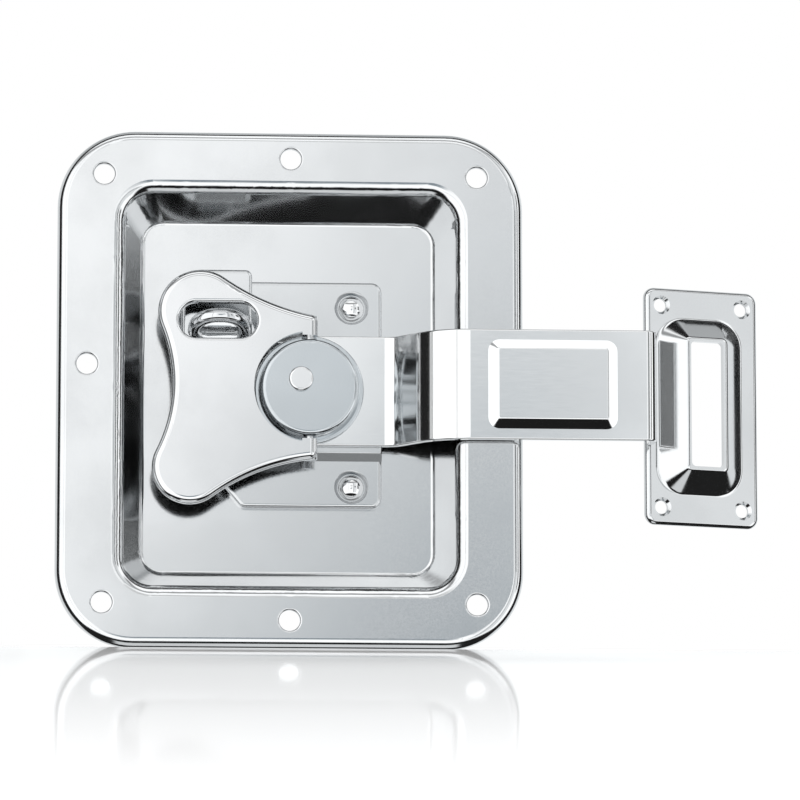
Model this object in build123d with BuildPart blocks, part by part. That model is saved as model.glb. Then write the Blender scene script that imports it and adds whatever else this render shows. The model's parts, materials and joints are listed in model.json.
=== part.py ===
from build123d import *

import os
from math import atan, cos, degrees, hypot, radians, sin, sqrt, tan

# Butterfly latch: a recessed pan with a turning handle that moves a hook arm, and a keeper.
# Millimetres. X runs right towards the keeper, Y into the panel, Z up.
# The origin is the centre of the flange's corner holes, on the back of the flange sheet.
# A depth is measured into the panel from the flange's front face.

# Pan: drawn sheet with a flange, a turned rim and a drafted recess
pan_sheet = 1.5
pan_width = 110.4
pan_height = 123.6
pan_corner = 18.5
rim_depth = 3.5
rim_round = 2.4
opening_width = 79.6
opening_height = 95.2
opening_corner = 7.0
floor_width = 69.6
floor_height = 84.8
floor_corner = 5.2
pan_depth = 15.0
opening_roll = 3.2
floor_roll = 0.9

# Flange holes
flange_hole = 4.9
flange_hole_round = 0.5
corner_hole_inset_x = 11.0
corner_hole_inset_z = 10.6
end_hole_inset = 6.6
side_hole_inset = 7.2
side_hole_height = 5.5
hole_pitch_x = pan_width - 2 * corner_hole_inset_x
hole_pitch_z = pan_height - 2 * corner_hole_inset_z
end_hole_pitch = pan_height - 2 * end_hole_inset
side_hole_pitch = pan_width - 2 * side_hole_inset

# Base plate: pressed tray on the pan's floor, with a raised bed and a staple platform
plate_sheet = 1.2
plate_left = -22.0
plate_right = 22.3
plate_bottom = -26.7
plate_top = 27.8
plate_corner = 2.4
plate_cut_x = -11.0
plate_cut_z = -13.6
plate_rise = 2.8
plate_round = 0.9
press_slope = 45.0
bed_left = -8.0
bed_bottom = -13.7
bed_top = 12.8
bed_rise = 1.8
bed_round = 0.5
platform_left = -25.5
platform_right = -8.7
platform_bottom = 12.0
platform_top = 30.4
platform_corner = 5.0
platform_end_corner = 1.6
platform_rise = 1.5
pocket_x = -16.4
pocket_z = 16.4
pocket_length = 13.4
pocket_height = 7.8
pocket_depth = 2.2

# Base rivets, each in a dimple
rivet_places = {
    "upper_right": (15.1, 21.6),
    "lower_right": (15.1, -21.6),
    "upper_left": (-15.5, 5.0),
    "lower_left": (-14.0, -14.2),
}
rivet_shank = 3.0
rivet_head = 6.2
rivet_head_height = 1.8
rivet_tail = 5.4
rivet_tail_height = 1.0
dimple_top = 8.2
dimple_bottom = 6.6
dimple_depth = 1.6

# Staple: bent wire standing on the platform
staple_wire = 3.4
staple_width = 15.2
staple_x = -16.4
staple_z = 15.6
staple_reach = 6.4
staple_lean = 24.0
staple_bend = 5.4
staple_foot = 2.9

# Pivot and hub
pivot_x = 2.65
pivot_z = 2.65
pivot_shank = 4.0
pivot_head = 5.9
pivot_head_height = 1.2
pivot_head_round = 0.6
pivot_tail = 6.8
pivot_tail_height = 1.1
throw = 2.8
throw_angle = -40.0
cam_diameter = 18.0
cam_flange = 26.0
cam_flange_sheet = 1.0
cap_foot = 24.2
cap_top = 22.9
cap_height = 4.8
cap_round = 1.1
stake = 2.4
stake_pitch = 11.0
stake_length = 1.6

# Spring washer under the pivot rivet's tail
washer_inner = 4.4
washer_outer = 8.0
washer_sheet = 0.45
washer_cone = 0.3

# Wing: a plate hinged across the hub
wing_sheet = 2.2
wing_round = 1.7
wing_edge = 0.3
wing_end_round = 1.8
wing_stand = 3.0
wing_hub_gap = 0.25
hinge_rise = 2.2
knuckle = 3.6
knuckle_inner = 12.4
knuckle_outer = 17.2
hinge_pin = 2.0
hinge_pin_inner = 8.0
upper_lobe = (-26.0, 18.0)
upper_lobe_radius = 10.0
lower_lobe = (-28.4, -19.3)
lower_lobe_radius = 8.9
waist_radius = 36.0
upper_shoulder_radius = 56.0
lower_shoulder_radius = 48.0
slot_x = -21.8
slot_z = 15.8
slot_length = 18.6
slot_width = 8.5
slot_round = 0.8

# Hook arm: one bent strip
arm_sheet = 2.0
arm_width = 26.4
arm_edge = 0.45
arm_step = 12.4
arm_bend_x = 24.7
arm_slope = 51.0
inner_bend_radius = 4.0
outer_bend_radius = 16.0
arm_reach = 86.6
hook_radius = 2.4
hook_depth = 6.4
panel_x = 61.9
panel_width = 30.6
panel_height = 21.3
panel_rise = 1.4
panel_corner = 2.7
panel_inset = 2.3
panel_round = 0.7

# Keeper: pressed plate on the neighbouring panel, turned a little away
keeper_sheet = 1.5
keeper_width = 28.8
keeper_height = 57.0
keeper_corner = 2.6
keeper_round = 1.2
keeper_ahead = 11.4
keeper_x = arm_reach + keeper_ahead
keeper_z = -2.6
keeper_turn = 16.0
keeper_gap = 0.7
boss_width = 21.0
boss_height = 42.4
boss_corner = 6.5
boss_rise = 5.4
boss_round = 1.2
boss_foot_round = 1.5
boss_shift = -0.8
keeper_slot_width = 8.2
keeper_slot_height = 30.0
keeper_slot_corner = 1.1
keeper_hole = 3.2
keeper_hole_edge = 0.65
keeper_hole_pitch_x = 20.6
keeper_hole_pitch_z = 48.6

# Clearances
run_gap = 0.1
pin_gap = 0.05
fit_gap = 0.02

# Stack of depths, from the pan's floor forwards
plate_front = pan_depth - plate_rise
bed_front = plate_front - bed_rise
platform_front = plate_front - platform_rise
arm_back = bed_front - run_gap
arm_front = arm_back - arm_sheet
cam_back = arm_front - run_gap
cap_back = cam_back - cam_flange_sheet
cap_front = cap_back - cap_height
hinge_depth = cap_back - hinge_rise
wing_front = hinge_depth - wing_stand
arm_outer_front = arm_front - arm_step

# The hub's centre stands off the pivot by the throw
hub_x = pivot_x + throw * cos(radians(throw_angle))
hub_z = pivot_z + throw * sin(radians(throw_angle))


def at_depth(depth, x=0.0, z=0.0):
    """Plane that faces the front, at a depth behind the flange's front face."""
    return Plane(origin=(x, depth - pan_sheet, z), x_dir=(1, 0, 0), z_dir=(0, -1, 0))


def along_y(x, z):
    """Axis into the panel through a place on the front."""
    return Axis((x, 0, z), (0, 1, 0))


def circles_meet(centre_a, radius_a, centre_b, radius_b):
    """The left-hand crossing of two circles, seen from the first centre towards the second."""
    across_x = centre_b[0] - centre_a[0]
    across_z = centre_b[1] - centre_a[1]
    apart = hypot(across_x, across_z)
    along = (radius_a**2 - radius_b**2 + apart**2) / (2 * apart)
    aside = sqrt(radius_a**2 - along**2)
    x = centre_a[0] + (along * across_x - aside * across_z) / apart
    z = centre_a[1] + (along * across_z + aside * across_x) / apart
    return (x, z)


def between(start, end, distance):
    """The point at a distance from the start on the line to the end."""
    share = distance / hypot(end[0] - start[0], end[1] - start[1])
    return (start[0] + share * (end[0] - start[0]), start[1] + share * (end[1] - start[1]))


def slope_shift(sheet, slope):
    """How far the back of a pressed sheet's bend lies from the front's, along the flat."""
    return sheet * tan(radians(slope) / 2)


os.makedirs("parts", exist_ok=True)


# Pan
wall_draft_x = (opening_width - floor_width) / 2 / pan_depth
wall_draft_z = (opening_height - floor_height) / 2 / pan_depth
wall_across = pan_sheet * sqrt(1 + wall_draft_x**2)


def recess_section(depth, grow):
    """Width, height and corner radius of the recess at a depth, grown by a wall."""
    share = depth / pan_depth
    width = opening_width - 2 * wall_draft_x * depth + 2 * grow
    height = opening_height - 2 * wall_draft_z * depth + 2 * grow
    corner = opening_corner + share * (floor_corner - opening_corner) + grow
    return width, height, corner


with BuildPart() as pan:
    with BuildSketch(at_depth(rim_depth)):
        RectangleRounded(pan_width, pan_height, pan_corner)
    extrude(amount=rim_depth)
    fillet(pan.faces().sort_by(Axis.Y)[0].edges(), rim_round)
    with BuildSketch(at_depth(rim_depth)):
        RectangleRounded(pan_width - 2 * pan_sheet, pan_height - 2 * pan_sheet, pan_corner - pan_sheet)
    extrude(amount=rim_depth - pan_sheet, mode=Mode.SUBTRACT)
    flange_back = pan.faces().filter_by(Axis.Y).sort_by(Axis.Y)[1]
    fillet(flange_back.edges(), rim_round - pan_sheet)
    with BuildSketch(at_depth(pan_sheet / 2)):
        RectangleRounded(*recess_section(pan_sheet / 2, wall_across))
    with BuildSketch(at_depth(pan_depth + pan_sheet)):
        RectangleRounded(*recess_section(pan_depth + pan_sheet, wall_across))
    loft(ruled=True)
    with BuildSketch(at_depth(0)):
        RectangleRounded(*recess_section(0, 0))
    with BuildSketch(at_depth(pan_depth)):
        RectangleRounded(*recess_section(pan_depth, 0))
    loft(ruled=True, mode=Mode.SUBTRACT)
    fillet(pan.faces().sort_by(Axis.Y)[0].inner_wires()[0].edges(), opening_roll)
    fillet(pan.faces().sort_by(Axis.Y)[-1].edges(), floor_roll + pan_sheet)
    floor_face = pan.faces().filter_by(Axis.Y).sort_by(Axis.Y)[-2]
    fillet(floor_face.edges(), floor_roll)
    with Locations(at_depth(0)):
        with GridLocations(hole_pitch_x, hole_pitch_z, 2, 2):
            Hole(flange_hole / 2)
        with GridLocations(0, end_hole_pitch, 1, 2):
            Hole(flange_hole / 2)
    with Locations(at_depth(0, 0, side_hole_height)):
        with GridLocations(side_hole_pitch, 0, 2, 1):
            Hole(flange_hole / 2)
    flange_front = pan.faces().sort_by(Axis.Y)[0]
    fillet(flange_front.edges().filter_by(lambda edge: edge.is_closed), flange_hole_round)
    with Locations(at_depth(pan_depth)):
        with Locations(*rivet_places.values()):
            Hole(rivet_shank / 2 + fit_gap)
pan.part.label = "pan"
export_step(pan.part, "parts/pan.step")


# Base plate
def outline_block(inset, height):
    """Block with the base plate's outline, moved in by a wall."""
    with BuildPart() as block:
        with BuildSketch(at_depth(pan_depth)):
            with BuildLine():
                Polyline(
                    (plate_right, plate_bottom),
                    (plate_right, plate_top),
                    (plate_left, plate_top),
                    (plate_left, plate_cut_z),
                    (plate_cut_x, plate_bottom),
                    close=True,
                )
            make_face()
            if inset:
                offset(amount=-inset, kind=Kind.INTERSECTION)
        extrude(amount=height)
        fillet(block.edges().filter_by(Axis.Y), plate_corner - inset)
    return block.part


def tray_form(inset):
    """The base plate's flat tray, or the hollow under it."""
    with BuildPart() as form:
        add(outline_block(inset, plate_rise - inset))
        if not inset:
            fillet(form.faces().sort_by(Axis.Y)[0].edges(), plate_round)
    return form.part


def bed_form(inset):
    """The raised bed behind the arm, or the hollow under it, as far as the plate's edge."""
    bed_spread = bed_rise / tan(radians(press_slope))
    foot_spread = bed_spread - slope_shift(inset, press_slope)
    foot_left = bed_left - foot_spread
    foot_bottom = bed_bottom - foot_spread
    foot_width = plate_right + 2 * bed_spread - foot_left
    foot_height = bed_top + foot_spread - foot_bottom
    with BuildPart() as form:
        with BuildSketch(at_depth(plate_front + inset, foot_left, foot_bottom)) as foot:
            Rectangle(foot_width, foot_height, align=(Align.MIN, Align.MIN))
        extrude(amount=bed_rise, taper=90 - press_slope)
        extrude(foot.sketch, amount=inset - plate_rise)
        add(outline_block(inset, plate_rise + bed_rise), mode=Mode.INTERSECT)
        if not inset:
            fillet(form.faces().sort_by(Axis.Y)[0].edges(), bed_round)
    return form.part


def platform_form(inset):
    """The raised platform that carries the staple, or the hollow under it."""
    platform_width = platform_right - platform_left
    platform_height = platform_top - platform_bottom
    with BuildPart() as form:
        with BuildSketch(at_depth(pan_depth, platform_left + inset, platform_bottom + inset)):
            Rectangle(
                platform_width - 2 * inset, platform_height - 2 * inset, align=(Align.MIN, Align.MIN)
            )
        extrude(amount=plate_rise + platform_rise - inset)
        top_corners = form.edges().filter_by(Axis.Y).group_by(Axis.Z)[-1].sort_by(Axis.X)
        fillet(top_corners[0], platform_corner - inset)
        fillet(top_corners[-1], platform_end_corner - inset)
        if not inset:
            fillet(form.faces().sort_by(Axis.Y)[0].edges(), plate_round)
    return form.part


def pocket_form(grow):
    """The round-ended dish behind the staple's eye, grown by a wall."""
    dish_radius = ((pocket_height / 2) ** 2 + pocket_depth**2) / (2 * pocket_depth)
    dish_y = platform_front + pocket_depth - dish_radius - pan_sheet
    end_radius = dish_radius + grow
    half_straight = (pocket_length - pocket_height) / 2
    with BuildPart() as form:
        with BuildSketch(Plane((pocket_x, dish_y, pocket_z), x_dir=(1, 0, 0), z_dir=(0, 0, 1))):
            with BuildLine():
                Line((-half_straight - end_radius, 0), (half_straight + end_radius, 0))
                JernArc((half_straight + end_radius, 0), (0, 1), end_radius, 90)
                Line((half_straight, end_radius), (-half_straight, end_radius))
                JernArc((-half_straight, end_radius), (-1, 0), end_radius, 90)
            make_face()
        revolve(axis=Axis((pocket_x, dish_y, pocket_z), (1, 0, 0)))
    return form.part


lean = radians(staple_lean)
staple_foot_place = (staple_x, platform_front - pan_sheet, staple_z)
staple_plane = Plane(staple_foot_place, x_dir=(1, 0, 0), z_dir=(0, -sin(lean), -cos(lean)))
staple_leg_plane = Plane(staple_foot_place, x_dir=(1, 0, 0), z_dir=(0, -cos(lean), sin(lean)))
staple_legs = staple_width - staple_wire

with BuildPart() as base_plate:
    add(tray_form(0))
    add(bed_form(0))
    add(platform_form(0))
    add(tray_form(plate_sheet), mode=Mode.SUBTRACT)
    add(bed_form(plate_sheet), mode=Mode.SUBTRACT)
    add(platform_form(plate_sheet), mode=Mode.SUBTRACT)
    add(pocket_form(plate_sheet) & platform_form(0))
    add(pocket_form(0), mode=Mode.SUBTRACT)
    with BuildSketch(at_depth(pan_depth)):
        with Locations(*rivet_places.values()):
            Circle(dimple_bottom / 2 + plate_sheet)
    extrude(amount=plate_rise - plate_round)
    with BuildSketch(at_depth(plate_front)):
        with Locations(*rivet_places.values()):
            Circle(dimple_top / 2)
    dimple_draft = degrees(atan((dimple_top - dimple_bottom) / 2 / dimple_depth))
    extrude(amount=-dimple_depth, taper=dimple_draft, mode=Mode.SUBTRACT)
    with Locations(at_depth(plate_front)):
        with Locations(*rivet_places.values()):
            Hole(rivet_shank / 2 + fit_gap)
    with Locations(at_depth(bed_front, pivot_x, pivot_z)):
        Hole(pivot_shank / 2 + fit_gap)
    with BuildSketch(staple_leg_plane):
        with GridLocations(staple_legs, 0, 2, 1):
            Circle(staple_wire / 2 + fit_gap)
    extrude(amount=staple_foot, both=True, mode=Mode.SUBTRACT)
base_plate.part.label = "base_plate"
export_step(base_plate.part, "parts/base_plate.step")


# Staple
with BuildPart() as staple:
    with BuildLine(staple_plane) as wire_path:
        Polyline(
            (-staple_legs / 2, -staple_foot),
            (-staple_legs / 2, staple_reach),
            (staple_legs / 2, staple_reach),
            (staple_legs / 2, -staple_foot),
        )
        fillet(wire_path.vertices().sort_by(Axis.Y)[:2], staple_bend)
    with BuildSketch(Plane(origin=wire_path.line @ 0, z_dir=wire_path.line % 0)):
        Circle(staple_wire / 2)
    sweep(path=wire_path.line)
staple.part.label = "staple"
export_step(staple.part, "parts/staple.step")


# Base rivets: a low dome in each dimple, and a tail behind the pan's floor
rivet_seat = plate_front + dimple_depth
pan_back = pan_depth + pan_sheet
for corner, (x, z) in rivet_places.items():
    with BuildPart() as base_rivet:
        with BuildSketch(Plane((x, rivet_seat - pan_sheet, z), x_dir=(1, 0, 0), z_dir=(0, 0, 1))):
            with BuildLine():
                TangentArc((0, -rivet_head_height), (rivet_head / 2, 0), tangent=(1, 0))
                Polyline((rivet_head / 2, 0), (0, 0), (0, -rivet_head_height))
            make_face()
        revolve(axis=along_y(x, z))
        with BuildSketch(at_depth(pan_back, x, z)):
            Circle(rivet_shank / 2)
        extrude(amount=pan_back - rivet_seat)
        with BuildSketch(at_depth(pan_back + rivet_tail_height, x, z)):
            Circle(rivet_tail / 2)
        extrude(amount=rivet_tail_height)
        fillet(base_rivet.faces().sort_by(Axis.Y)[-1].edges(), rivet_tail_height / 2)
    base_rivet.part.label = f"base_rivet_{corner}"
    export_step(base_rivet.part, f"parts/base_rivet_{corner}.step")


# Spring washer: a shallow cone against the back of the bed
bed_back = bed_front + plate_sheet
washer_depth = washer_sheet + washer_cone
with BuildPart() as spring_washer:
    with BuildSketch(Plane((pivot_x, bed_back - pan_sheet, pivot_z), x_dir=(1, 0, 0), z_dir=(0, 0, 1))):
        with BuildLine():
            Polyline(
                (washer_inner / 2, washer_cone),
                (washer_outer / 2, 0),
                (washer_outer / 2, washer_sheet),
                (washer_inner / 2, washer_depth),
                close=True,
            )
        make_face()
    revolve(axis=along_y(pivot_x, pivot_z))
spring_washer.part.label = "spring_washer"
export_step(spring_washer.part, "parts/spring_washer.step")


# Pivot rivet
tail_front = bed_back + washer_depth
with BuildPart() as pivot_rivet:
    with BuildSketch(at_depth(cap_front - run_gap, pivot_x, pivot_z)):
        Circle(pivot_head / 2)
    extrude(amount=pivot_head_height)
    fillet(pivot_rivet.faces().sort_by(Axis.Y)[0].edges(), pivot_head_round)
    with BuildSketch(at_depth(tail_front, pivot_x, pivot_z)):
        Circle(pivot_shank / 2)
    extrude(amount=tail_front - cap_front + run_gap)
    with BuildSketch(at_depth(tail_front + pivot_tail_height, pivot_x, pivot_z)):
        Circle(pivot_tail / 2)
    extrude(amount=pivot_tail_height)
    fillet(pivot_rivet.faces().sort_by(Axis.Y)[-1].edges(), pivot_tail_height / 2)
pivot_rivet.part.label = "pivot_rivet"
export_step(pivot_rivet.part, "parts/pivot_rivet.step")


# Cam disc: its round cam turns in the arm's eye, off the pivot's centre
with BuildPart() as cam_disc:
    with BuildSketch(at_depth(cam_back, hub_x, hub_z)):
        Circle(cam_flange / 2)
    extrude(amount=cam_flange_sheet)
    fillet(cam_disc.faces().sort_by(Axis.Y)[0].edges(), cam_flange_sheet / 3)
    with BuildSketch(at_depth(arm_back, hub_x, hub_z)):
        Circle(cam_diameter / 2)
    extrude(amount=arm_back - cam_back)
    with Locations(at_depth(cap_back, pivot_x, pivot_z)):
        Hole(pivot_shank / 2 + pin_gap)
    with Locations(at_depth(cap_back, hub_x, hub_z)):
        with GridLocations(stake_pitch, 0, 2, 1):
            Hole(stake / 2 + fit_gap, depth=stake_length + fit_gap)
cam_disc.part.label = "cam_disc"
export_step(cam_disc.part, "parts/cam_disc.step")


# Hub cap: the raised disc, staked to the cam disc and bored for the wing's pins
hinge_y = hinge_depth - pan_sheet
with BuildPart() as hub_cap:
    with BuildSketch(at_depth(cap_back, hub_x, hub_z)):
        Circle(cap_foot / 2)
    extrude(amount=cap_height, taper=degrees(atan((cap_foot - cap_top) / 2 / cap_height)))
    fillet(hub_cap.faces().sort_by(Axis.Y)[0].edges(), cap_round)
    with BuildSketch(at_depth(cap_back, hub_x, hub_z)):
        with GridLocations(stake_pitch, 0, 2, 1):
            Circle(stake / 2)
    extrude(amount=-stake_length)
    with Locations(at_depth(cap_front, pivot_x, pivot_z)):
        Hole(pivot_shank / 2 + pin_gap)
    for side in (1, -1):
        bore_start = (hub_x, hinge_y, hub_z + side * (hinge_pin_inner - fit_gap))
        with BuildSketch(Plane(bore_start, x_dir=(1, 0, 0), z_dir=(0, 0, side))):
            Circle(hinge_pin / 2 + fit_gap)
        extrude(amount=cap_foot / 2, mode=Mode.SUBTRACT)
hub_cap.part.label = "hub_cap"
export_step(hub_cap.part, "parts/hub_cap.step")


# Hinge pins, from inside the cap to the knuckles' ends
for end, side in {"upper": 1, "lower": -1}.items():
    with BuildPart() as hinge_pin_part:
        pin_start = (hub_x, hinge_y, hub_z + side * hinge_pin_inner)
        with BuildSketch(Plane(pin_start, x_dir=(1, 0, 0), z_dir=(0, 0, side))):
            Circle(hinge_pin / 2)
        extrude(amount=knuckle_outer - hinge_pin_inner)
    hinge_pin_part.part.label = f"hinge_pin_{end}"
    export_step(hinge_pin_part.part, f"parts/hinge_pin_{end}.step")


# Wing: outline of arcs about the hub's centre, each tangent to the next
def short_arc(centre, radius, start, end):
    """Arc of under half a turn about a centre, from a start to an end."""
    chord_middle = ((start[0] + end[0]) / 2, (start[1] + end[1]) / 2)
    ThreePointArc(start, between(centre, chord_middle, radius), end)


arm_end = knuckle / 2
upper_arm_end = (arm_end, knuckle_outer)
lower_arm_end = (arm_end, -knuckle_outer)
upper_shoulder = circles_meet(
    upper_lobe, upper_lobe_radius + upper_shoulder_radius, upper_arm_end, upper_shoulder_radius
)
lower_shoulder = circles_meet(
    lower_arm_end, lower_shoulder_radius, lower_lobe, lower_lobe_radius + lower_shoulder_radius
)
waist = circles_meet(
    lower_lobe, lower_lobe_radius + waist_radius, upper_lobe, upper_lobe_radius + waist_radius
)
upper_start = between(upper_lobe, upper_shoulder, upper_lobe_radius)
upper_stop = between(upper_lobe, waist, upper_lobe_radius)
lower_start = between(lower_lobe, waist, lower_lobe_radius)
lower_stop = between(lower_lobe, lower_shoulder, lower_lobe_radius)

with BuildPart() as wing:
    with BuildSketch(at_depth(wing_front + wing_sheet, hub_x, hub_z)):
        with BuildLine():
            short_arc(upper_shoulder, upper_shoulder_radius, upper_arm_end, upper_start)
            short_arc(upper_lobe, upper_lobe_radius, upper_start, upper_stop)
            short_arc(waist, waist_radius, upper_stop, lower_start)
            short_arc(lower_lobe, lower_lobe_radius, lower_start, lower_stop)
            short_arc(lower_shoulder, lower_shoulder_radius, lower_stop, lower_arm_end)
            Line(lower_arm_end, upper_arm_end)
        make_face()
    extrude(amount=wing_sheet)
    fillet(wing.edges().filter_by(Axis.Y).sort_by(Axis.X)[-2:], wing_end_round)
    fillet(wing.faces().sort_by(Axis.Y)[0].edges(), wing_round)
    fillet(wing.faces().sort_by(Axis.Y)[-1].edges().filter_by(GeomType.CIRCLE), wing_edge)
    with BuildSketch(at_depth(wing_front + wing_sheet, hub_x, hub_z)):
        Circle(cam_flange / 2 + wing_hub_gap)
        for side in (1, -1):
            with Locations((0, side * (knuckle_inner + knuckle_outer) / 2)):
                Rectangle(knuckle, knuckle_outer - knuckle_inner, mode=Mode.SUBTRACT)
    extrude(amount=wing_sheet, mode=Mode.SUBTRACT)
    with BuildSketch(at_depth(wing_front, hub_x, hub_z)):
        with Locations((slot_x, slot_z)):
            SlotOverall(slot_length, slot_width)
    extrude(amount=-wing_sheet, mode=Mode.SUBTRACT)
    knuckle_length = knuckle_outer - knuckle_inner
    for low_end in (knuckle_inner, -knuckle_outer):
        with BuildSketch(Plane((hub_x, hinge_y, hub_z + low_end), x_dir=(1, 0, 0), z_dir=(0, 0, 1))):
            Circle(knuckle / 2)
            with Locations((0, (wing_sheet - wing_stand) / 2)):
                Rectangle(knuckle, wing_stand - wing_sheet)
        extrude(amount=knuckle_length)
    with BuildSketch(Plane((hub_x, hinge_y, hub_z - knuckle_outer), z_dir=(0, 0, 1))):
        Circle(hinge_pin / 2 + pin_gap)
    extrude(amount=2 * knuckle_outer, mode=Mode.SUBTRACT)
    slot_edges = wing.faces().sort_by(Axis.Y)[0].inner_wires()[0].edges()
    fillet(slot_edges, slot_round)
wing.part.label = "wing"
export_step(wing.part, "parts/wing.step")


# Hook arm: one strip bent out of the pan, with an eye, a raised panel and a hook
slope = radians(arm_slope)
step_run = arm_step / tan(slope)
eye_y = arm_front - pan_sheet
outer_y = arm_outer_front - pan_sheet
tip_y = outer_y + hook_depth
with BuildPart() as hook_arm:
    with BuildSketch(Plane((0, 0, hub_z - arm_width / 2), x_dir=(1, 0, 0), z_dir=(0, 0, 1))):
        with BuildLine():
            FilletPolyline(
                (hub_x, eye_y),
                (arm_bend_x, eye_y),
                (arm_bend_x + step_run, outer_y),
                (arm_reach, outer_y),
                (arm_reach, tip_y),
                radius=[inner_bend_radius, outer_bend_radius, hook_radius],
            )
            offset(amount=arm_sheet, side=Side.LEFT)
        make_face()
    extrude(amount=arm_width)
    with BuildSketch(at_depth(arm_back, hub_x, hub_z)):
        Circle(arm_width / 2)
    extrude(amount=arm_sheet)
    side_edges = hook_arm.faces().filter_by(Axis.Z).edges()
    eye_edges = hook_arm.faces().filter_by(GeomType.CYLINDER).sort_by(Axis.X)[0].edges()
    fillet(side_edges + eye_edges.filter_by(GeomType.CIRCLE), arm_edge)
    with BuildSketch(at_depth(arm_back, hub_x, hub_z)):
        Circle(cam_diameter / 2 + pin_gap)
    extrude(amount=arm_sheet, mode=Mode.SUBTRACT)
    panel_draft = degrees(atan(panel_inset / panel_rise))
    panel_slope = degrees(atan(panel_rise / panel_inset))
    with BuildSketch(at_depth(arm_outer_front, panel_x, hub_z)):
        RectangleRounded(panel_width, panel_height, panel_corner)
    extrude(amount=panel_rise, taper=panel_draft)
    fillet(hook_arm.faces().sort_by(Axis.Y)[0].edges(), panel_round)
    pocket_shrink = 2 * slope_shift(arm_sheet, panel_slope)
    with BuildSketch(at_depth(arm_outer_front + arm_sheet, panel_x, hub_z)):
        RectangleRounded(panel_width - pocket_shrink, panel_height - pocket_shrink, panel_corner)
    extrude(amount=panel_rise, taper=panel_draft, mode=Mode.SUBTRACT)
hook_arm.part.label = "hook_arm"
export_step(hook_arm.part, "parts/hook_arm.step")


# Keeper: pressed plate with a hollow boss, its left margin just behind the hook's tip
turn = radians(keeper_turn)
keeper_lead = (keeper_ahead + arm_sheet) * tan(turn)
keeper_back_y = tip_y + keeper_gap + keeper_lead + keeper_sheet / cos(turn)
keeper_back = Plane(
    (keeper_x, keeper_back_y, keeper_z), x_dir=(cos(turn), sin(turn), 0), z_dir=(sin(turn), -cos(turn), 0)
)
keeper_front = keeper_back.offset(keeper_sheet)
keeper_forward = Axis(keeper_back.origin, keeper_back.z_dir)
hollow_shift = slope_shift(keeper_sheet, press_slope)
with BuildPart() as keeper:
    with BuildSketch(keeper_back):
        RectangleRounded(keeper_width, keeper_height, keeper_corner)
    extrude(amount=keeper_sheet)
    fillet(keeper.faces().sort_by(keeper_forward)[-1].edges(), keeper_round)
    with BuildSketch(keeper_front):
        with Locations((boss_shift, 0)):
            RectangleRounded(boss_width, boss_height, boss_corner)
    extrude(amount=boss_rise, taper=90 - press_slope)
    fillet(keeper.faces().sort_by(keeper_forward)[-1].edges(), boss_round)
    margin = keeper.faces().filter_by(keeper_forward).sort_by(keeper_forward)[-2]
    fillet(margin.inner_wires()[0].edges(), boss_foot_round)
    with BuildSketch(keeper_back):
        with Locations((boss_shift, 0)):
            RectangleRounded(
                boss_width - 2 * hollow_shift, boss_height - 2 * hollow_shift, boss_corner - hollow_shift
            )
    extrude(amount=boss_rise, taper=90 - press_slope, mode=Mode.SUBTRACT)
    with BuildSketch(keeper_back):
        with Locations((boss_shift, 0)):
            RectangleRounded(keeper_slot_width, keeper_slot_height, keeper_slot_corner)
    extrude(amount=keeper_sheet + boss_rise, mode=Mode.SUBTRACT)
    with Locations(keeper_front):
        with GridLocations(keeper_hole_pitch_x, keeper_hole_pitch_z, 2, 2):
            CounterSinkHole(keeper_hole / 2, keeper_hole / 2 + keeper_hole_edge)
keeper.part.label = "keeper"
export_step(keeper.part, "parts/keeper.step")
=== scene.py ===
import json
from math import cos, radians, sin, tan, tau

import bpy
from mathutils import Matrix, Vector


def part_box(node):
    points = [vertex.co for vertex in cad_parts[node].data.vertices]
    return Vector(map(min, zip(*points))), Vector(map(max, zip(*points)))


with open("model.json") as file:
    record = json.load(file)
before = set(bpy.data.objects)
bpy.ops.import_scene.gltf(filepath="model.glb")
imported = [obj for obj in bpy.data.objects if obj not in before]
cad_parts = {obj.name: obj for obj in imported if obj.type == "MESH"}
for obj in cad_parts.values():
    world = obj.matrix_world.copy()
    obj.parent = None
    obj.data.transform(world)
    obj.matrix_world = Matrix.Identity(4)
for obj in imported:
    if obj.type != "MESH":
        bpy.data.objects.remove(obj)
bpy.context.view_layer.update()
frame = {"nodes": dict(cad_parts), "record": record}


# Measures of the frame
def middle(node):
    low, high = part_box(node)
    return (low + high) / 2


pan_low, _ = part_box("pan")
hub_centre = middle("hub_cap")

# Camera: a long lens, a little from the left and from below
view_azimuth = -3.4
view_elevation = -9.4
view_distance = 1.5
view_width = 0.1890
view_centre = Vector((0.02595, pan_low.y, -0.00257))
sensor_width = 36.0
view_clip = (0.05, 20.0)

# Floor: level under the latch and behind it, falling away towards the camera
floor_slope = radians(14.4)
floor_reach = 3.5
floor_half_width = 4.0
floor_fade = 0.25
rear_fade_start = 0.02
rear_fade_end = 0.10
floor_glow = 0.35
floor_mirror = 0.60
floor_white = 0.60
floor_gloss = 0.07

# Flag, and how far its edges fade
flag_y = -0.60
flag_left = 0.345
flag_right = 0.458
flag_low = 0.04
flag_high = 0.205
flag_left_fade = 0.006
flag_right_fade = 0.01
flag_low_fade = 0.01
flag_high_fade = 0.04

# Lamp: a wide strip above and behind
lamp_place = (0.0, 0.5, 2.4)
lamp_target = (0.0, 0.0, 0.0)
lamp_size = (3.2, 0.3)
lamp_power = 46.0

# Metal surfaces: scale of the uneven polish, and how much darker its dull patches are
micron = 0.000001
polish_scale = 45.0
dull_share = 0.93
ring_pitch = 0.0003


# Node helpers
def new_node(tree, kind, inputs=None, **settings):
    """Adds a node, sets its properties, and sets or links its inputs."""
    node = tree.nodes.new(kind)
    for name, value in settings.items():
        setattr(node, name, value)
    for key, value in (inputs or {}).items():
        if isinstance(value, bpy.types.NodeSocket):
            tree.links.new(value, node.inputs[key])
        else:
            node.inputs[key].default_value = value
    return node


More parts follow.
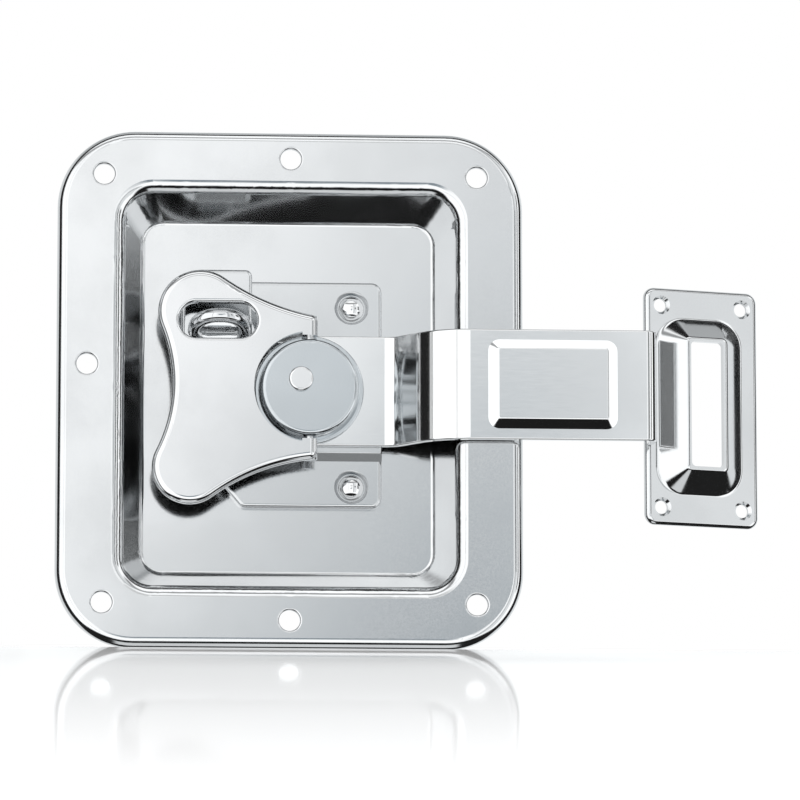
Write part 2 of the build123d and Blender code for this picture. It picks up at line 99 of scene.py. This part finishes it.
def math(tree, operation, *values):
    return new_node(tree, "ShaderNodeMath", dict(enumerate(values)), operation=operation).outputs[0]


def ramp(tree, value, low, high, start=0.0, end=1.0, smooth=True):
    """Maps a value from low..high to start..end, held at both ends."""
    kind = "SMOOTHSTEP" if smooth else "LINEAR"
    inputs = {"Value": value, "From Min": low, "From Max": high, "To Min": start, "To Max": end}
    return new_node(tree, "ShaderNodeMapRange", inputs, interpolation_type=kind).outputs[0]


def blend_colour(tree, factor, first, second):
    inputs = {0: factor, 6: first, 7: second}
    return new_node(tree, "ShaderNodeMix", inputs, data_type="RGBA").outputs[2]


def grey(level, blue=0.0):
    """A grey, shifted a little to blue."""
    return (level * (1 - blue), level * (1 - 0.35 * blue), level, 1.0)


# World: soft boxes and flags by direction, and a white background
def band(tree, value, centre, half, blur):
    """One inside a stretch of angles, falling to zero over its blurred ends."""
    apart = math(tree, "ABSOLUTE", math(tree, "SUBTRACT", value, radians(centre)))
    return ramp(tree, apart, radians(half - blur), radians(half + blur), 1.0, 0.0)


def make_world():
    world = bpy.data.worlds.new("studio")
    world.use_nodes = True
    tree = world.node_tree
    tree.nodes.clear()
    place = new_node(tree, "ShaderNodeTexCoord")
    parts = new_node(tree, "ShaderNodeSeparateXYZ", {0: place.outputs["Generated"]})
    x, y, z = parts.outputs
    forward = math(tree, "MULTIPLY", y, -1.0)
    azimuth = math(tree, "ARCTAN2", x, forward)
    elevation = math(tree, "ARCSINE", z)
    aside = math(tree, "ARCCOSINE", forward)
    # Each card: middle azimuth, middle elevation, half width, half height, blur, colour
    cards = [
        ("behind_left", -145, 0, 50, 70, 8, grey(0.95, 0.03)),
        ("behind_top", 180, 62, 75, 16, 6, grey(0.60, 0.04)),
        ("front_box", 0, 20, 80, 70, 6, grey(1.60, 0.01)),
        ("high_gap", 0, 45, 60, 7, 4, grey(0.45, 0.02)),
        ("left_line", -19, 5, 1.2, 34, 1, grey(0.90)),
        ("left_step", -64, 5, 1.4, 50, 1, grey(0.35)),
        ("right_grey", 22, 5, 5, 36, 3, grey(0.70, 0.05)),
        ("right_soft", 36, 5, 9, 36, 4, grey(1.10, 0.03)),
        ("hook_dark", 56, 9, 6, 13, 2, grey(0.18, 0.04)),
        ("low_mirror", 3.5, 21, 9, 4, 3, grey(0.80, 0.02)),
        ("below", 0, -73, 200, 34, 4, grey(0.015)),
    ]
    colour = grey(1.05, 0.04)
    for _, card_azimuth, card_elevation, half_width, half_height, blur, card_colour in cards:
        turned_to = azimuth
        if card_azimuth == 180:
            turned_to = math(tree, "ARCTAN2", math(tree, "MULTIPLY", x, -1.0), y)
            card_azimuth = 0
        across = band(tree, turned_to, card_azimuth, half_width, blur)
        up = band(tree, elevation, card_elevation, half_height, blur)
        colour = blend_colour(tree, math(tree, "MULTIPLY", across, up), colour, card_colour)
    # A dark ring around the front box draws the black line in every rounded edge
    above = math(tree, "MULTIPLY", math(tree, "MAXIMUM", z, 0.0), radians(4.0))
    ring_centre = math(tree, "MULTIPLY_ADD", x, radians(3.5), radians(89.5))
    ring_centre = math(tree, "SUBTRACT", ring_centre, above)
    ring_half = math(tree, "MULTIPLY_ADD", x, radians(-1.0), radians(18.5))
    ring_half = math(tree, "MULTIPLY_ADD", z, radians(-4.5), ring_half)
    ring_half = math(tree, "SUBTRACT", ring_half, above)
    off_ring = math(tree, "ABSOLUTE", math(tree, "SUBTRACT", aside, ring_centre))
    outside = math(tree, "SUBTRACT", off_ring, ring_half)
    ring = ramp(tree, outside, radians(-3.0), radians(3.0), 1.0, 0.0)
    colour = blend_colour(tree, ring, colour, grey(0.02))
    # A narrow light below draws a pale line in the rounded edges that face down
    strip = math(tree, "MULTIPLY", ramp(tree, math(tree, "ABSOLUTE", x), 0.20, 0.30, 1.0, 0.0),
                 band(tree, aside, 84, 20, 3))
    strip = math(tree, "MULTIPLY", strip, math(tree, "LESS_THAN", z, 0.0))
    colour = blend_colour(tree, strip, colour, grey(0.95, 0.03))
    # The front box darkens to blue-grey on the lower right, as on a sheet lit from one side
    slant = math(tree, "MULTIPLY_ADD", elevation, -0.6, azimuth)
    fall = ramp(tree, slant, radians(-5.5), radians(1.0))
    rise = ramp(tree, azimuth, radians(4.0), radians(5.8), 1.0, 0.40)
    blue_grey = (0.28, 0.335, 0.375, 1.0)
    window = blend_colour(tree, math(tree, "MULTIPLY", fall, rise), grey(1.42, 0.01), blue_grey)
    near = math(tree, "MULTIPLY", band(tree, azimuth, 3, 8, 4), band(tree, elevation, 4, 13, 4))
    colour = blend_colour(tree, near, colour, window)
    rays = new_node(tree, "ShaderNodeLightPath")
    colour = blend_colour(tree, rays.outputs["Is Camera Ray"], colour, grey(1.0))
    background = new_node(tree, "ShaderNodeBackground", {"Color": colour, "Strength": 1.0})
    output = new_node(tree, "ShaderNodeOutputWorld")
    tree.links.new(background.outputs[0], output.inputs["Surface"])
    bpy.context.scene.world = world


# Metals
def metal(name, tint, roughness, spread, grain_scale, grain_depth, wave_scale=18.0, wave_depth=0.0):
    """Bright plated metal: uneven polish, a fine grain in a direction, and a slight waviness."""
    material = bpy.data.materials.new(name)
    material.use_nodes = True
    tree = material.node_tree
    shader = tree.nodes["Principled BSDF"]
    place = new_node(tree, "ShaderNodeTexCoord").outputs["Object"]
    polish = new_node(tree, "ShaderNodeTexNoise", {"Vector": place, "Scale": polish_scale, "Detail": 4.0})
    stretched = new_node(tree, "ShaderNodeMapping", {"Vector": place, "Scale": grain_scale}).outputs[0]
    grain = new_node(tree, "ShaderNodeTexNoise", {"Vector": stretched, "Scale": 1.0, "Detail": 3.0})
    patchy = math(tree, "MULTIPLY", polish.outputs["Fac"], grain.outputs["Fac"])
    shine = ramp(tree, patchy, 0.12, 0.42, roughness, roughness + spread)
    dulled = tuple(dull_share * c for c in tint[:3]) + (1.0,)
    colour = blend_colour(tree, ramp(tree, polish.outputs["Fac"], 0.35, 0.7), tint, dulled)
    bump = new_node(
        tree, "ShaderNodeBump", {"Height": grain.outputs["Fac"], "Strength": 1.0, "Distance": grain_depth}
    )
    normal = bump.outputs[0]
    if wave_depth:
        wave = new_node(tree, "ShaderNodeTexNoise", {"Vector": place, "Scale": wave_scale, "Detail": 1.0})
        inputs = {"Height": wave.outputs["Fac"], "Strength": 1.0, "Distance": wave_depth, "Normal": normal}
        normal = new_node(tree, "ShaderNodeBump", inputs).outputs[0]
    shader.inputs["Metallic"].default_value = 1.0
    tree.links.new(colour, shader.inputs["Base Color"])
    tree.links.new(shine, shader.inputs["Roughness"])
    tree.links.new(normal, shader.inputs["Normal"])
    return material


def turned(material, centre, pitch, depth):
    """Adds the fine rings of a turned face about an axis through the front."""
    tree = material.node_tree
    shader = tree.nodes["Principled BSDF"]
    place = new_node(tree, "ShaderNodeTexCoord").outputs["Object"]
    shifted = new_node(tree, "ShaderNodeVectorMath", {0: place, 1: centre}, operation="SUBTRACT").outputs[0]
    flat = new_node(tree, "ShaderNodeVectorMath", {0: shifted, 1: (1.0, 0.0, 1.0)}, operation="MULTIPLY")
    radius = new_node(tree, "ShaderNodeVectorMath", {0: flat.outputs[0]}, operation="LENGTH").outputs["Value"]
    rings = math(tree, "SINE", math(tree, "MULTIPLY", radius, tau / pitch))
    before = shader.inputs["Normal"].links[0].from_socket
    inputs = {"Height": rings, "Strength": 1.0, "Distance": depth, "Normal": before}
    tree.links.new(new_node(tree, "ShaderNodeBump", inputs).outputs[0], shader.inputs["Normal"])
    return material


def even_grain(scale):
    return (scale, scale, scale)


def make_metals():
    sheet = (0.655, 0.665, 0.672, 1.0)
    plate = (0.62, 0.632, 0.64, 1.0)
    sheet_grain = even_grain(2500.0)
    hub = metal("hub", (0.53, 0.56, 0.58, 1.0), 0.10, 0.05, even_grain(2200.0), 0.5 * micron)
    return {
        "pan_sheet": metal("pan_sheet", sheet, 0.09, 0.04, sheet_grain, 0.5 * micron, 12.0, 6 * micron),
        "plate_sheet": metal("plate_sheet", plate, 0.08, 0.04, sheet_grain, 0.5 * micron),
        "rivet": metal("rivet", (0.72, 0.725, 0.73, 1.0), 0.05, 0.04, even_grain(1800.0), 0.4 * micron),
        "wire": metal("wire", (0.62, 0.63, 0.64, 1.0), 0.06, 0.05, (150.0, 2600.0, 2600.0), 0.6 * micron),
        "hub": turned(hub, hub_centre, ring_pitch, 0.4 * micron),
        "wing": metal("wing", (0.68, 0.688, 0.695, 1.0), 0.065, 0.03, even_grain(2400.0), 0.5 * micron),
        "pin": metal("pin", (0.60, 0.61, 0.62, 1.0), 0.10, 0.06, (2200.0, 2200.0, 200.0), 0.8 * micron),
        # The arm's tint is lighter than the sheet's. This is painted light: it stands in for the brighter
        # light on its face.
        "arm": metal("arm", (0.77, 0.777, 0.78, 1.0), 0.07, 0.03, (260.0, 2600.0, 2600.0), 0.5 * micron),
        "keeper": metal("keeper", sheet, 0.09, 0.04, sheet_grain, 0.5 * micron),
        "washer": metal("washer", (0.50, 0.51, 0.52, 1.0), 0.20, 0.10, even_grain(1500.0), 2 * micron),
    }


# Floor
def floor_material():
    """White floor, clear from underneath, with a mirror image that fades in front and behind."""
    material = bpy.data.materials.new("studio_floor")
    material.use_nodes = True
    tree = material.node_tree
    tree.nodes.clear()
    matt = new_node(tree, "ShaderNodeBsdfDiffuse", {"Color": grey(floor_white)})
    rays = new_node(tree, "ShaderNodeLightPath")
    glow = new_node(tree, "ShaderNodeEmission", {"Color": grey(1.0)})
    glow_share = math(tree, "MULTIPLY", rays.outputs["Is Camera Ray"], floor_glow)
    tree.links.new(glow_share, glow.inputs["Strength"])
    white = new_node(tree, "ShaderNodeAddShader", {0: matt.outputs[0], 1: glow.outputs[0]})
    mirror = new_node(tree, "ShaderNodeBsdfGlossy", {"Color": grey(1.0), "Roughness": floor_gloss})
    place = new_node(tree, "ShaderNodeTexCoord").outputs["Object"]
    y = new_node(tree, "ShaderNodeSeparateXYZ", {0: place}).outputs[1]
    share = ramp(tree, y, -floor_fade, 0.0, 0.0, floor_mirror)
    share = math(tree, "MULTIPLY", share, ramp(tree, y, rear_fade_start, rear_fade_end, 1.0, 0.0))
    shine = new_node(tree, "ShaderNodeMixShader", {0: share, 1: white.outputs[0], 2: mirror.outputs[0]})
    clear = new_node(tree, "ShaderNodeBsdfTransparent")
    side = new_node(tree, "ShaderNodeNewGeometry").outputs["Backfacing"]
    surface = new_node(tree, "ShaderNodeMixShader", {0: side, 1: shine.outputs[0], 2: clear.outputs[0]})
    output = new_node(tree, "ShaderNodeOutputMaterial")
    tree.links.new(surface.outputs[0], output.inputs["Surface"])
    return material


def make_floor():
    edge_y = pan_low.y
    level = pan_low.z
    drop = (floor_reach + edge_y) * tan(floor_slope)
    rows = [(floor_reach, level), (edge_y, level), (-floor_reach, level - drop)]
    points = [(side * floor_half_width, y, z) for y, z in rows for side in (-1, 1)]
    faces = [(0, 2, 3, 1), (2, 4, 5, 3)]
    mesh = bpy.data.meshes.new("studio_floor")
    mesh.from_pydata(points, [], faces)
    mesh.update()
    floor = bpy.data.objects.new("studio_floor", mesh)
    bpy.context.scene.collection.objects.link(floor)
    floor.data.materials.append(floor_material())
    floor.visible_glossy = False


# Black flag in front of the right side: the recess's left wall mirrors it over the pan's floor
def make_flag():
    material = bpy.data.materials.new("studio_flag")
    material.use_nodes = True
    tree = material.node_tree
    tree.nodes.clear()
    black = new_node(tree, "ShaderNodeEmission", {"Color": grey(0.0), "Strength": 0.0})
    clear = new_node(tree, "ShaderNodeBsdfTransparent")
    place = new_node(tree, "ShaderNodeTexCoord").outputs["Object"]
    x, _, z = new_node(tree, "ShaderNodeSeparateXYZ", {0: place}).outputs
    top = ramp(tree, z, flag_high - flag_high_fade, flag_high, 0.0, 1.0)
    low = ramp(tree, z, flag_low, flag_low + flag_low_fade, 1.0, 0.0)
    left = ramp(tree, x, flag_left, flag_left + flag_left_fade, 1.0, 0.0)
    right = ramp(tree, x, flag_right - flag_right_fade, flag_right, 0.0, 1.0)
    ends = math(tree, "MAXIMUM", math(tree, "MAXIMUM", top, low), math(tree, "MAXIMUM", left, right))
    surface = new_node(tree, "ShaderNodeMixShader", {0: ends, 1: black.outputs[0], 2: clear.outputs[0]})
    output = new_node(tree, "ShaderNodeOutputMaterial")
    tree.links.new(surface.outputs[0], output.inputs["Surface"])
    points = [(x, flag_y, z) for z in (flag_low, flag_high) for x in (flag_left, flag_right)]
    mesh = bpy.data.meshes.new("studio_flag")
    mesh.from_pydata(points, [], [(0, 1, 3, 2)])
    mesh.update()
    flag = bpy.data.objects.new("studio_flag", mesh)
    bpy.context.scene.collection.objects.link(flag)
    flag.data.materials.append(material)
    flag.visible_camera = False
    flag.visible_diffuse = False
    flag.visible_shadow = False


# Lamps
def make_lamp(name, place, target, size, power):
    lamp = bpy.data.lights.new(name, "AREA")
    lamp.shape = "RECTANGLE"
    lamp.size, lamp.size_y = size
    lamp.energy = power
    holder = bpy.data.objects.new(name, lamp)
    holder.location = place
    holder.rotation_euler = (Vector(target) - Vector(place)).to_track_quat("-Z", "Y").to_euler()
    holder.visible_glossy = False
    bpy.context.scene.collection.objects.link(holder)


def make_camera():
    azimuth, elevation = radians(view_azimuth), radians(view_elevation)
    back = Vector((sin(azimuth) * cos(elevation), -cos(azimuth) * cos(elevation), sin(elevation)))
    data = bpy.data.cameras.new("camera")
    data.sensor_width = sensor_width
    data.lens = sensor_width * view_distance / view_width
    data.clip_start, data.clip_end = view_clip
    camera = bpy.data.objects.new("camera", data)
    camera.location = view_centre + back * view_distance
    camera.rotation_euler = (-back).to_track_quat("-Z", "Y").to_euler()
    bpy.context.scene.collection.objects.link(camera)
    bpy.context.scene.camera = camera


metals = make_metals()
slot_of = {part["node"]: part["material_slot"] for part in frame["record"]["subparts"]}
for name, node in frame["nodes"].items():
    for slot in node.material_slots:
        slot.material = metals[slot_of[name]]

make_world()
make_floor()
make_flag()
make_lamp("top_lamp", lamp_place, lamp_target, lamp_size, lamp_power)
make_camera()
bpy.context.scene.view_settings.view_transform = "Standard"
